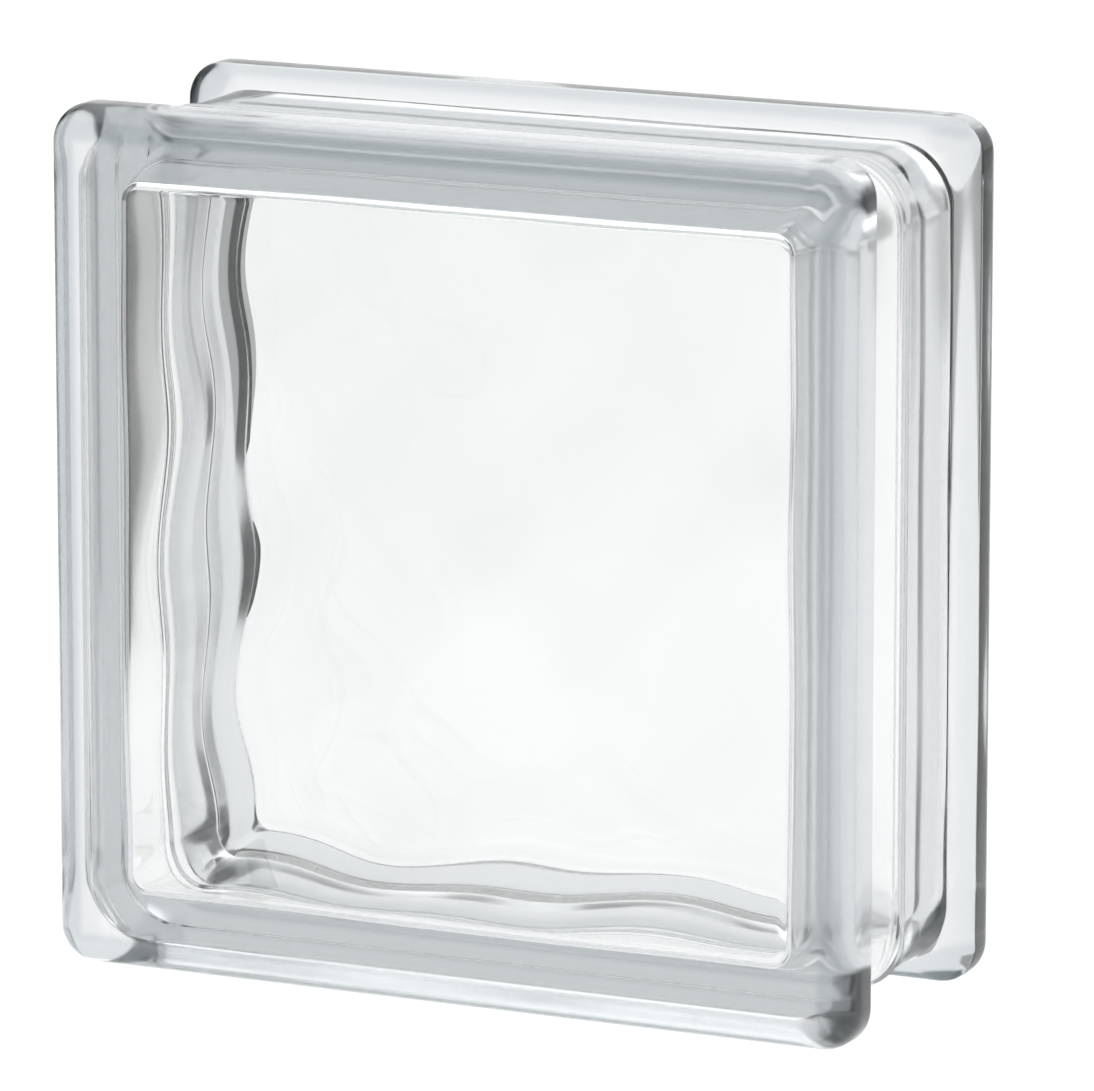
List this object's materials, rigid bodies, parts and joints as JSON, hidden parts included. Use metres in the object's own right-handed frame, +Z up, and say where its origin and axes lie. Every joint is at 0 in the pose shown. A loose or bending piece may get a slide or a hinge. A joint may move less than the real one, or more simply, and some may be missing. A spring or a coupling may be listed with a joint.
{
  "type": "glass block",
  "caption": "Hollow square pressed-glass wall block with wavy faces, rounded rims and a mortar channel around its edge.",
  "frame": {"origin": "middle of the bottom of the block's box, on the level of the lower rims it stands on", "axes": "+Z up, +Y from the front face to the back face through the depth, +X across the face to the right seen from the front"},
  "size_m": [0.19, 0.08, 0.19],
  "materials": {
    "glass": "clear pressed glass, smooth outside, waves on the inner side of both faces"
  },
  "bodies": {
    "root": {"glass_block": "glass"}
  },
  "joints": []
}
